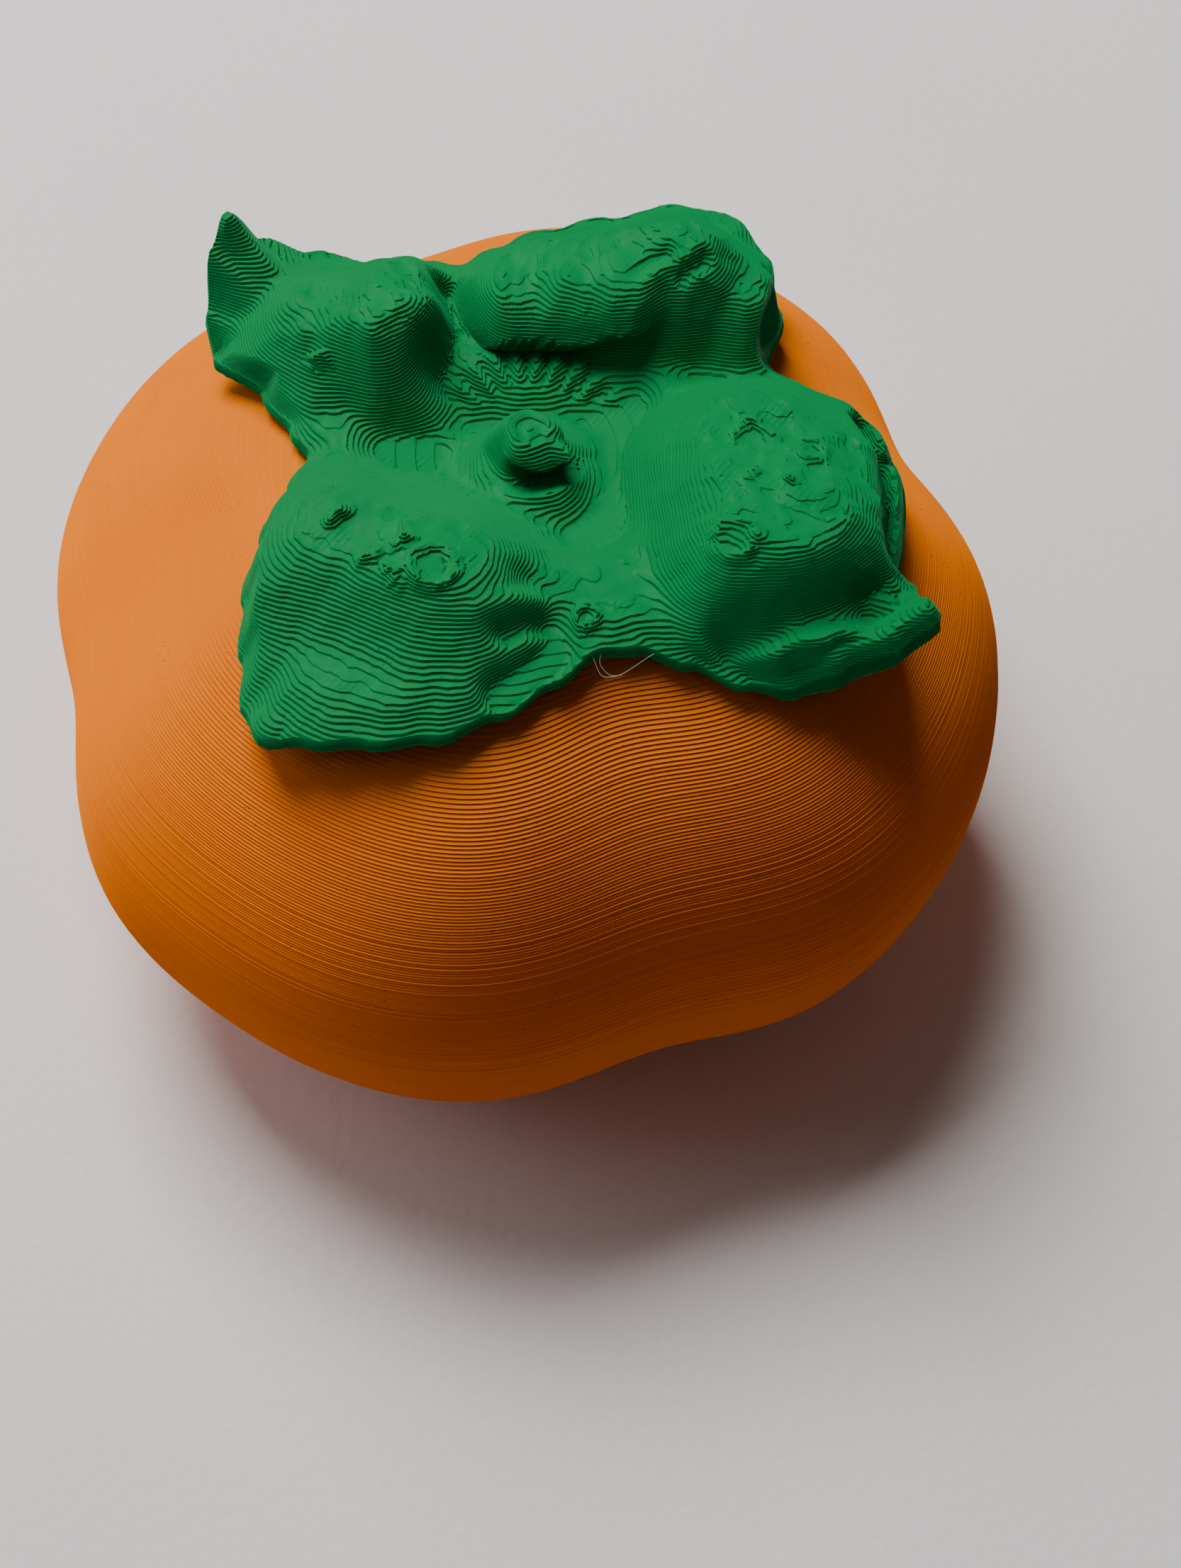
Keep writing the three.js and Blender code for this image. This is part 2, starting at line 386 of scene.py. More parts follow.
class NodeMaker:
    """Adds nodes to a new material, one call for each node with its settings and links."""

    def __init__(self, name: str) -> None:
        """Starts a material with only its output node.

        Args:
            name: Name of the material.
        """
        self.material = bpy.data.materials.new(name)
        self.material.use_nodes = True
        self.tree = self.material.node_tree
        self.tree.nodes.clear()
        self.output = self.tree.nodes.new("ShaderNodeOutputMaterial")

    def add(self, kind: str, settings: dict | None = None, **inputs: object) -> bpy.types.Node:
        """Adds one node.

        Args:
            kind: Blender's name of the node type, without "ShaderNode".
            settings: Attributes to set on the node.
            **inputs: Values or output sockets by input name, with "_" for a space, or i0, i1 by number.

        Returns:
            The new node.
        """
        node = self.tree.nodes.new("ShaderNode" + kind)
        for key, value in (settings or {}).items():
            setattr(node, key, value)
        for key, value in inputs.items():
            numbered = key[0] == "i" and key[1:].isdigit()
            socket = node.inputs[int(key[1:])] if numbered else node.inputs[key.replace("_", " ")]
            if isinstance(value, bpy.types.NodeSocket):
                self.tree.links.new(value, socket)
            else:
                socket.default_value = value
        return node

    def finish(self, surface: bpy.types.Node) -> bpy.types.Material:
        """Links the surface shader to the output.

        Args:
            surface: The shader node.

        Returns:
            The finished material.
        """
        self.tree.links.new(surface.outputs[0], self.output.inputs["Surface"])
        return self.material


@dataclass(frozen=True)
class PrintedFilament:
    """PLA filament, melted and laid in beads: a satin skin over slightly cloudy plastic."""

    name: str
    colour: str
    deep_colour: str          # tint of the faint level bands: each layer leans towards it by a random share
    pale_colour: str          # where the plastic was stretched or cooled fast and went milky
    roughness: float
    gloss: float              # strength of the shine; the lines between beads swallow much of it
    line_strength: float      # how strongly the top-fill lines stand out
    milky_colour: str = "#9fb3a2"   # drawn hairs, thin enough to look nearly white
    speck_size_mm: float = 0.55
    cloud_mm: float = 9.0
    patch_mm: float = 3.1
    fill_angle: float = 38.0
    index: float = 1.46              # of PLA

    def material(self) -> bpy.types.Material:
        """Makes the node material."""
        make = NodeMaker(self.name)
        place = make.add("TexCoord").outputs["Object"]
        # Batches of layers cool a little differently, which tints the print in faint level bands.
        height = make.add("SeparateXYZ", Vector=place).outputs["Z"]
        layer = make.add("Math", {"operation": "DIVIDE"}, i0=height, i1=LAYER_MM * MM).outputs[0]
        whole = make.add("Math", {"operation": "FLOOR"}, i0=layer).outputs[0]
        band = make.add("TexWhiteNoise", {"noise_dimensions": "1D"}, W=whole).outputs["Value"]
        cloud = make.add("TexNoise", Vector=place, Scale=1 / (self.cloud_mm * MM),
                         Detail=3.0).outputs["Fac"]
        tint = make.add("MapRange", Value=cloud, From_Min=0.35, From_Max=0.7).outputs["Result"]
        base = make.add("Mix", {"data_type": "RGBA"}, i0=tint, i6=linear(self.colour),
                        i7=linear(self.pale_colour)).outputs[2]
        banded = make.add("MapRange", Value=band, To_Min=0.0, To_Max=0.3).outputs["Result"]
        banded_colour = make.add("Mix", {"data_type": "RGBA"}, i0=banded, i6=base,
                                 i7=linear(self.deep_colour)).outputs[2]
        pale = make.add("Attribute", {"attribute_name": "pale"}).outputs["Fac"]
        colour = make.add("Mix", {"data_type": "RGBA"}, i0=pale, i6=banded_colour,
                          i7=linear(self.milky_colour)).outputs[2]
        # Glossy flecks and tiny drips where the nozzle paused.
        speck = make.add("TexVoronoi", {"feature": "F1"}, Vector=place,
                         Scale=1 / (self.speck_size_mm * MM)).outputs["Distance"]
        fleck = make.add("MapRange", Value=speck, From_Min=0.16, From_Max=0.05).outputs["Result"]
        where = make.add("TexNoise", Vector=place, Scale=1 / (self.patch_mm * MM),
                         Detail=2.0).outputs["Fac"]
        some = make.add("MapRange", Value=where, From_Min=0.52, From_Max=0.62).outputs["Result"]
        flecks = make.add("Math", {"operation": "MULTIPLY"}, i0=fleck, i1=some).outputs[0]
        # Top-fill lines run slantwise across level places only, one print line apart.
        broad = make.add("Attribute", {"attribute_name": "broad"}).outputs["Fac"]
        patchy = make.add("Math", {"operation": "MULTIPLY"}, i0=broad, i1=some).outputs[0]
        slant = make.add("Mapping", {"vector_type": "POINT"}, Vector=place,
                         Rotation=(0.0, 0.0, math.radians(self.fill_angle))).outputs["Vector"]
        fill = make.add("TexWave", {"wave_type": "BANDS", "bands_direction": "X", "wave_profile": "SIN"},
                        Vector=slant, Scale=math.pi / 10 / (LINE_MM * MM), Distortion=0.6, Detail=1.0,
                        Detail_Scale=0.5 / LINE_MM).outputs["Fac"]
        lines = make.add("Math", {"operation": "MULTIPLY"}, i0=fill, i1=patchy).outputs[0]
        uneven = make.add("TexNoise", Vector=place, Scale=1 / (0.35 * MM), Detail=4.0).outputs["Fac"]
        rough = make.add("MapRange", Value=uneven, From_Min=0.3, From_Max=0.7,
                         To_Min=self.roughness - 0.06, To_Max=self.roughness + 0.08).outputs["Result"]
        skin = make.add("Bump", Strength=0.35, Distance=0.02 * MM, Height=uneven).outputs["Normal"]
        lined = make.add("Bump", Strength=self.line_strength, Distance=0.05 * MM, Height=lines,
                         Normal=skin).outputs["Normal"]
        dripped = make.add("Bump", Strength=0.8, Distance=0.08 * MM, Height=flecks,
                           Normal=lined).outputs["Normal"]
        glint = make.add("MapRange", Value=flecks, To_Min=self.gloss, To_Max=0.45).outputs["Result"]
        shader = make.add("BsdfPrincipled", Base_Color=colour, Roughness=rough, Normal=dripped,
                          Metallic=0.0, IOR=self.index, Specular_IOR_Level=glint)
        return make.finish(shader)


@dataclass(frozen=True)
class PlainWeave:
    """Undyed cotton cloth, plain woven: matt, with a fine over-and-under grid and slubs."""

    name: str = "natural_plain_weave_cotton"
    warp_colour: str = "#d8cbb0"
    weft_colour: str = "#c6b896"
    shade_colour: str = "#a8977a"
    thread_mm: float = 0.45   # real threads lie about 0.3 mm apart; drawn coarser so that they show
    slub_mm: float = 2.2

    def material(self) -> bpy.types.Material:
        """Makes the node material."""
        make = NodeMaker(self.name)
        place = make.add("TexCoord").outputs["Object"]
        scale = math.pi / 10 / (self.thread_mm * MM)
        waves = [make.add("TexWave", {"bands_direction": axis}, Vector=place, Scale=scale,
                          Distortion=0.8, Detail=2.0, Detail_Scale=1.0).outputs["Fac"] for axis in ("X", "Y")]
        over = make.add("Math", {"operation": "GREATER_THAN"}, i0=waves[0], i1=waves[1]).outputs[0]
        crown = make.add("Math", {"operation": "MAXIMUM"}, i0=waves[0], i1=waves[1]).outputs[0]
        slub = make.add("TexNoise", Vector=place, Scale=1 / (self.slub_mm * MM), Detail=5.0).outputs["Fac"]
        mixed = make.add("Mix", {"data_type": "RGBA"}, i0=over, i6=linear(self.warp_colour),
                         i7=linear(self.weft_colour)).outputs[2]
        shade = make.add("MapRange", Value=slub, From_Min=0.3, From_Max=0.7, To_Max=0.35).outputs["Result"]
        colour = make.add("Mix", {"data_type": "RGBA"}, i0=shade, i6=mixed,
                          i7=linear(self.shade_colour)).outputs[2]
        bump = make.add("Bump", Strength=0.7, Distance=0.12 * MM, Height=crown).outputs["Normal"]
        return make.finish(make.add("BsdfPrincipled", Base_Color=colour, Roughness=0.92, Normal=bump,
                                    IOR=1.5, Sheen_Weight=0.35, Sheen_Roughness=0.5))


@dataclass(frozen=True)
class FibrousMatt:
    """Matt fibrous stuff such as grey card, wool stuffing or spun thread: speckled fibres, no gloss."""

    name: str
    colour: str
    fibre_colour: str
    fibre_mm: float
    roughness: float = 0.9

    def material(self) -> bpy.types.Material:
        """Makes the node material."""
        make = NodeMaker(self.name)
        place = make.add("TexCoord").outputs["Object"]
        fibres = make.add("TexNoise", Vector=place, Scale=1 / (self.fibre_mm * MM), Detail=6.0,
                          Distortion=1.6).outputs["Fac"]
        share = make.add("MapRange", Value=fibres, From_Min=0.4, From_Max=0.65).outputs["Result"]
        colour = make.add("Mix", {"data_type": "RGBA"}, i0=share, i6=linear(self.colour),
                          i7=linear(self.fibre_colour)).outputs[2]
        bump = make.add("Bump", Strength=0.5, Distance=0.1 * MM, Height=fibres).outputs["Normal"]
        return make.finish(make.add("BsdfPrincipled", Base_Color=colour, Roughness=self.roughness,
                                    Normal=bump, IOR=1.5))


@dataclass(frozen=True)
class PaleBacking:
    """Plain pale studio floor: brushed off-white, faintly uneven."""

    name: str = "pale_floor"
    colour: str = "#efeeee"
    cloud_colour: str = "#e8e7e8"
    cloud_mm: float = 25.0
    nap_mm: float = 0.9

    def material(self) -> bpy.types.Material:
        """Makes the node material."""
        make = NodeMaker(self.name)
        place = make.add("TexCoord").outputs["Object"]
        cloud = make.add("TexNoise", Vector=place, Scale=1 / (self.cloud_mm * MM), Detail=3.0).outputs["Fac"]
        colour = make.add("Mix", {"data_type": "RGBA"}, i0=cloud, i6=linear(self.colour),
                          i7=linear(self.cloud_colour)).outputs[2]
        nap = make.add("TexNoise", Vector=place, Scale=1 / (self.nap_mm * MM), Detail=5.0).outputs["Fac"]
        bump = make.add("Bump", Strength=0.25, Distance=0.3 * MM, Height=nap).outputs["Normal"]
        return make.finish(make.add("BsdfPrincipled", Base_Color=colour, Roughness=0.95, Normal=bump))


class Finish(Enum):
    """The object's finishes, each with the record's material slot that it stands for."""

    ORANGE_PLA = ("orange_pla", PrintedFilament(
        "orange_pla_printed", "#e87a00", "#e27400", "#ee8000", 0.46, 0.02, 0.0))
    GREEN_PLA = ("green_pla", PrintedFilament(
        "green_pla_printed", "#008044", "#00793e", "#008648", 0.36, 0.03, 0.3))
    COTTON = ("cotton_cover", PlainWeave())
    CARD = ("grey_card", FibrousMatt("bookbinding_card", "#a8906c", "#8b7453", 0.8))
    WOOL = ("wool_filling", FibrousMatt("wool_stuffing", "#efeadf", "#d9d2c2", 1.2))
    THREAD = ("cotton_thread", FibrousMatt("cotton_sewing_thread", "#ddd6c4", "#bdb49c", 0.15))

    def dress(self, piece: bpy.types.Object) -> None:
        """Gives a piece this finish as its only material.

        Args:
            piece: Mesh or curve object, new or from the CAD model.
        """
        slot, maker = self.value
        made = bpy.data.materials.get(maker.name) or maker.material()
        piece.data.materials.clear()
        piece.data.materials.append(made)


# Fruit
# ------------

@dataclass(frozen=True)
class Furrow:
    """Upright furrow between two lobes of the fruit."""

    azimuth: float
    depth_mm: float
    spread: float          # half width in degrees


@dataclass(frozen=True)
class FruitShape:
    """The persimmon's outline, in millimetres: the same curves as the CAD shell, with more detail."""

    width: float = 71.5
    widest_height: float = 18.0
    shoulder_rise: float = 25.2
    belly_drop: float = 19.4
    shoulder_fullness: float = 0.82
    belly_fullness: float = 0.7
    dish_depth: float = 3.2
    dish_radius: float = 12.0
    wall: float = 2.4
    mouth_radius: float = 12.0
    furrow_reach: float = 12.0
    furrows: tuple[Furrow, ...] = (Furrow(22, 2.8, 14), Furrow(110, 3.0, 20),
                                   Furrow(190, 2.6, 16), Furrow(288, 3.0, 17))

    def shoulder_height(self, radius: np.ndarray | float, inset: float = 0.0) -> np.ndarray:
        """Height of the shoulder at a radius, outside or, inset by the wall, inside.

        Args:
            radius: Distance from the axis.
            inset: How far inside the outer surface.

        Returns:
            Height above the base.
        """
        across = np.minimum(np.asarray(radius, float) / (self.width / 2 - inset), 1)
        cosine = across ** (1 / self.shoulder_fullness)
        dish = self.dish_depth * np.exp(-(np.asarray(radius) / self.dish_radius) ** 2)
        return self.widest_height + (self.shoulder_rise - inset) * np.sqrt(1 - cosine ** 2) - dish

    def shoulder_radius(self, height: float, inset: float = 0.0) -> float:
        """Radius at which the shoulder has a height: the way back from shoulder_height.

        Args:
            height: Height above the base.
            inset: How far inside the outer surface.

        Returns:
            Distance from the axis, never inside the mouth.
        """
        radii = np.linspace(self.mouth_radius, self.width / 2 - inset, 2000)
        return float(np.interp(-height, -self.shoulder_height(radii, inset), radii))

    def belly_radius(self, height: float, inset: float = 0.0) -> float:
        """Radius of the side below the widest ring.

        Args:
            height: Height above the base.
            inset: How far inside the outer surface.

        Returns:
            Distance from the axis.
        """
        sine = min((self.widest_height - height) / (self.belly_drop - inset), 1.0)
        return (self.width / 2 - inset) * math.sqrt(1 - sine * sine) ** self.belly_fullness

    def radius(self, height: float, inset: float = 0.0) -> float:
        """Radius of the wall at a height, before the furrows."""
        if height < self.widest_height:
            return self.belly_radius(height, inset)
        return self.shoulder_radius(height, inset)

    def furrow_depth(self, turn: np.ndarray, radius: np.ndarray | float) -> np.ndarray:
        """How far the furrows draw the surface in.

        Args:
            turn: Azimuths in radians.
            radius: Distance from the axis before the furrows.

        Returns:
            Depths for each azimuth.
        """
        depth = np.zeros_like(turn)
        for furrow in self.furrows:
            depth += furrow.depth_mm * lobe(turn, furrow.azimuth, furrow.spread)
        start = self.mouth_radius + 2
        return depth * smooth(radius, start, self.mouth_radius + self.furrow_reach)


@dataclass
class FruitShell:
    """The hollow orange print, laid layer by layer, open at the mouth."""

    shape: FruitShape = field(default_factory=FruitShape)
    columns: int = 212
    bead_mm: float = 0.075           # how deep the grooves between two layers are
    wander_mm: float = 0.007         # how far a layer strays from the layer below it
    dent_mm: float = 0.25            # long soft unevenness of the modelled form
    inner_step_mm: float = 1.6       # the inside is coarser, as only the mouth shows it
    foot_mm: float = 8.0             # radius of a ring that parts the flat base
    lip_mm: float = 1.0              # height of the plain lip inside the mouth
    lean: float = 0.15               # how far up a bead's crown moves on shallow slopes

    def radii(self, height: float, inset: float = 0.0) -> np.ndarray:
        """Radius of the wall all round at one height.

        Args:
            height: Height above the base, in millimetres.
            inset: The wall's thickness for the inside, else 0.

        Returns:
            One radius for each column.
        """
        columns = self.columns if inset == 0 else self.columns // 3
        turn = azimuths(columns)
        radius = self.shape.radius(height, inset)
        radii = radius - self.shape.furrow_depth(turn, radius)
        if inset == 0:
            spots = np.stack([np.cos(turn) * radius, np.sin(turn) * radius, np.full(columns, height)], 1)
            radii += (self.dent_mm * grain(spots, 13, 3.1)
                      * smooth(radius, self.shape.mouth_radius + 1, 20))
        return radii

    def build(self) -> bpy.types.Object:
        """Makes the shell's mesh: flat base, stepped layers up to the mouth, lip, and the plain inside."""
        shape = self.shape
        rim = float(shape.shoulder_height(shape.mouth_radius))
        layers = int(rim / LAYER_MM)
        random = np.random.default_rng(7)
        turn = azimuths(self.columns)
        walls = []
        for layer in range(layers):
            stray = random.normal(0, self.wander_mm, 3)
            walls.append(self.radii((layer + 0.5) * LAYER_MM) + stray[0]
                         + stray[1] * np.sin(turn) + stray[2] * np.sin(2 * turn))
        rings = [turned_ring(0, 0, 1), turned_ring(self.foot_mm, 0, self.columns // 3),
                 level_ring(walls[0] - 0.3, 0)]
        for layer, wall in enumerate(walls):
            above = walls[min(layer + 1, layers - 1)]
            # On shallow slopes the bead's crown sits at the brink of its step.
            run = np.clip((wall - above) / LAYER_MM, 0, 1)
            crown = level_ring(wall, 0)
            crown[:, 2] = (layer + 0.5 + self.lean * run) * LAYER_MM
            rings += [crown, level_ring(np.minimum(wall, above) - self.bead_mm, (layer + 1) * LAYER_MM)]
        rings[-1] = level_ring(walls[-1] - 2 * self.bead_mm, layers * LAYER_MM)
        rings.append(turned_ring(shape.mouth_radius, layers * LAYER_MM, self.columns // 2))
        inside_rim = float(shape.shoulder_height(shape.mouth_radius, shape.wall))
        rings += [turned_ring(shape.mouth_radius, z, self.columns // 3)
                  for z in (rim - self.lip_mm, inside_rim)]
        heights = np.arange(inside_rim - 0.35, shape.wall, -self.inner_step_mm)
        rings += [level_ring(self.radii(float(z), shape.wall), float(z)) for z in heights]
        rings += [level_ring(self.radii(shape.wall, shape.wall), shape.wall), turned_ring(0, shape.wall, 1)]
        vertices, faces = loft(rings)
        return mesh_object("fruit_shell_print", vertices * MM, faces)


# Calyx
# ------------

@dataclass(frozen=True)
class Swelling:
    """Rounded heap on the calyx, in millimetres: a level crest between two places, falling off evenly."""

    start: tuple[float, float]
    end: tuple[float, float]
    tops: tuple[float, float]      # height above the base at each end
    flat: float                    # half width of the level crest
    fall: float                    # slope of its sides
    soft: float = 1.5              # how gently the crest turns into the side

    def height(self, x: np.ndarray, y: np.ndarray) -> np.ndarray:
        """Height of the heap at places in plan.

        Args:
            x: Their x.
            y: Their y.

        Returns:
            Heights above the base.
        """
        along = np.subtract(self.end, self.start)
        share = ((x - self.start[0]) * along[0] + (y - self.start[1]) * along[1]) / max(along @ along, 1e-9)
        beyond = np.maximum(segment_distance(x, y, self.start, self.end) - self.flat, 0)
        top = self.tops[0] + (self.tops[1] - self.tops[0]) * np.clip(share, 0, 1)
        return top - self.fall * (np.sqrt(beyond ** 2 + self.soft ** 2) - self.soft)


@dataclass(frozen=True)
class Crease:
    """Valley pressed into the calyx along a line, or with a negative depth a low ridge on it."""

    start: tuple[float, float]
    end: tuple[float, float]
    depth: float
    width: float
    loop: float = 0.0              # with a radius, it runs round the line at that distance

    def depths(self, x: np.ndarray, y: np.ndarray) -> np.ndarray:
        """Depth of the valley at places in plan."""
        away = segment_distance(x, y, self.start, self.end) - self.loop
        return self.depth * np.exp(-(away / self.width) ** 2)


@dataclass(frozen=True)
class Wisp:
    """Hair of plastic that the nozzle drew out between two places of the rim, in millimetres."""

    path: tuple[tuple[float, float, float], ...]
    radius: float = 0.02

    def tube(self, sides: int = 5, steps: int = 48) -> tuple[np.ndarray, np.ndarray]:
        """Closed tube along the smooth curve through the path's points.

        Args:
            sides: Corners of its cross-section.
            steps: Sections along it.

        Returns:
            Its points in millimetres, and its triangles.
        """
        places = np.array(self.path)
        at = np.linspace(0, len(places) - 1, steps)
        weight = np.exp(-((at[:, None] - np.arange(len(places))) / 0.75) ** 2)
        line = weight @ places / weight.sum(1, keepdims=True)
        along = np.gradient(line, axis=0)
        side = np.cross(along, (0.31, 0.2, 0.93))
        side /= np.linalg.norm(side, axis=1, keepdims=True)
        other = np.cross(along / np.linalg.norm(along, axis=1, keepdims=True), side)
        turn = azimuths(sides)
        rings = [line[k] + self.radius * (np.outer(np.cos(turn), side[k]) + np.outer(np.sin(turn), other[k]))
                 for k in range(steps)]
        return loft([line[:1], *rings, line[-1:]])


@dataclass(frozen=True)
class RimPoint:
    """Point of the leaves' edge: where it is, and how far it curls up off the fruit."""

    azimuth: float
    radius: float
    lift: float


@dataclass
class CalyxLid:
    """The green print: stem stub, sunken disc, four swollen leaves with a curled rim, ring spigot below."""

    shape: FruitShape = field(default_factory=FruitShape)
    gap_mm: float = 0.4              # underside to fruit
    leaf_mm: float = 1.5             # thickness between the swellings
    rim_mm: float = 1.1              # thickness at the rim
    disc_height: float = 41.35
    disc_radius: float = 8.0
    disc_thickness: float = 1.4
    hub_radius: float = 12.6
    spigot_radius: float = 11.6
    spigot_wall: float = 1.8
    spigot_depth: float = 4.0
    stem_at: tuple[float, float] = (0.9, -1.2)
    stem_foot: float = 3.4
    stem_top: float = 45.9
    cell_mm: float = 0.4             # size of the mesh before it is cut into layers
    blend_mm: float = 0.5            # how softly swellings flow together
    ridge_blend_mm: float = 0.15     # the same for ridges
    edge_gap_mm: float = 0.7         # least thickness anywhere
    rough_mm: float = 0.10           # how uneven the level places are
    bead_mm: float = 0.035
    level_share: float = 0.35
    basin_at: tuple[float, float] = (0.5, 0.5)
    # Foot of the steep edge behind the disc: azimuth about basin_at, and distance.
    basin_edge: tuple[tuple[float, float], ...] = (
        (36, 8.6), (52, 8.4), (73, 8.2), (104, 8.1), (120, 7.6), (132, 7.2), (148, 7.0), (172, 6.8))
    rim: tuple[RimPoint, ...] = tuple(RimPoint(*row) for row in (
        (24, 19.2, 0.2), (38, 23.6, 0.8), (46, 26.0, 3.0), (54, 27.0, 4.5), (62, 25.5, 4.0),
        (73, 22.5, 2.0), (84, 20.6, 1.0), (95, 18.8, 0.3), (103, 17.4, 0.0), (111, 18.3, 0.5),
        (122, 19.8, 1.3), (131, 22.4, 3.3), (137, 24.6, 6.0), (142, 25.6, 10.5), (147, 25.2, 8.6),
        (153, 24.2, 4.4), (157, 23.0, 1.5), (163, 18.2, 0.3), (174, 15.4, 0.0), (183, 14.0, 0.0),
        (194, 15.8, 0.0), (203, 18.5, 0.0), (213, 21.4, 0.1), (221, 23.7, 0.6), (228, 26.2, 1.8),
        (233, 27.2, 2.7), (239, 26.0, 2.5), (247, 24.6, 1.9), (256, 23.0, 1.0), (267, 20.7, 0.3),
        (277, 18.7, 0.0), (288, 17.2, 0.0), (296, 17.9, 0.0), (304, 20.2, 0.0), (310, 23.0, 0.2),
        (316, 25.3, 0.6), (322, 27.2, 2.5), (328, 29.6, 6.0), (332.5, 30.9, 8.7), (336, 28.6, 6.0),
        (342, 26.7, 1.5), (352, 26.6, 1.0), (361, 26.4, 0.8), (368, 24.6, 0.5), (375, 21.6, 0.2)))
    swellings: tuple[Swelling, ...] = (
        # Back left leaf: a dome with a shoulder towards the notch.
        Swelling((-9.4, 8.8), (-13.8, 9.2), (48.0, 46.6), 1.2, 1.5, 3.2),
        Swelling((-7.4, 8.6), (-7.8, 11.4), (47.2, 47.2), 0.6, 1.7, 2.4),
        Swelling((-13.5, 5.4), (-16.0, 7.5), (44.6, 44.2), 0.8, 1.0),
        Swelling((-16.5, 12.2), (-19.0, 14.0), (45.0, 45.8), 0.3, 1.4, 0.8),
        # Back right leaf: one long pillow over the disc's edge, highest at its far right.
        Swelling((0.4, 12.2), (11.0, 13.3), (46.9, 48.6), 1.2, 1.9, 3.2),
        Swelling((1.0, 11.0), (9.5, 11.4), (46.2, 47.1), 0.6, 2.2, 2.2),
        Swelling((13.5, 13.0), (15.4, 11.6), (47.3, 46.2), 0.9, 1.5, 2.4),
        # Right leaf: broad rough-topped dome, low towards the disc, with a steep outer side.
        Swelling((15.6, -2.0), (17.2, -8.0), (46.1, 46.9), 3.0, 1.25, 2.6),
        Swelling((13.6, -2.5), (14.0, -9.0), (45.3, 45.7), 1.2, 1.2, 2.2),
        Swelling((13.9, -11.0), (17.5, -11.4), (45.9, 45.5), 0.7, 1.2, 1.5),
        Swelling((18.0, 2.8), (20.5, 0.2), (43.7, 44.6), 0.8, 0.9),
        Swelling((21.6, -2.4), (21.8, -8.0), (45.3, 45.0), 1.0, 1.1, 0.8),
        # Front left leaf: a worm-eaten plateau above a long even slope, with a fold at its right.
        Swelling((-11.8, -8.6), (-4.6, -11.4), (45.3, 45.7), 1.9, 0.78, 1.6),
        Swelling((-13.5, -7.0), (-15.5, -10.5), (44.0, 43.6), 1.0, 0.7),
        Swelling((-2.4, -14.8), (0.9, -13.7), (44.9, 44.2), 0.2, 1.5, 0.5),
        # Foot of the stem.
        Swelling((0.8, -1.5), (1.1, -2.3), (43.7, 43.5), 1.9, 0.85, 0.5),
    )
    ridges: tuple[Swelling, ...] = (
        # The right leaf's rim stands up as a thin wall, then runs out into the horn.
        Swelling((18.2, 6.2), (22.7, 2.8), (41.9, 41.9), 0.25, 2.4, 0.3),
        Swelling((22.7, 2.8), (25.5, -1.6), (41.9, 41.6), 0.25, 3.0, 0.3),
        Swelling((25.5, -1.6), (25.9, -5.6), (41.6, 41.3), 0.3, 3.2, 0.3),
        Swelling((25.9, -5.6), (24.9, -9.8), (41.3, 40.2), 0.3, 2.6, 0.3),
        Swelling((14.5, -17.3), (17.4, -17.0), (39.2, 40.0), 0.3, 1.5, 0.8),
        Swelling((17.4, -17.0), (20.8, -16.2), (40.0, 41.2), 0.4, 1.6, 0.8),
        Swelling((20.8, -16.2), (24.4, -15.0), (41.2, 42.4), 0.5, 1.8, 0.9),
        Swelling((24.4, -15.0), (26.6, -14.1), (42.4, 43.6), 0.5, 2.0, 0.9),
        # The disc's back part rises in a corrugated band towards the pillow above it.
        Swelling((-2.6, 7.9), (6.8, 8.2), (43.3, 43.2), 0.6, 0.5, 1.2),
        # Bulb at the front left tip, and the fin of the back left corner.
        Swelling((-15.7, -20.8), (-16.2, -21.4), (40.5, 40.3), 0.5, 1.4, 0.5),
        Swelling((-18.2, 13.4), (-19.9, 15.3), (45.8, 48.7), 0.4, 2.6, 0.5),
        Swelling((-20.6, 12.0), (-20.1, 14.8), (44.2, 47.2), 0.3, 2.2, 0.4),
    )
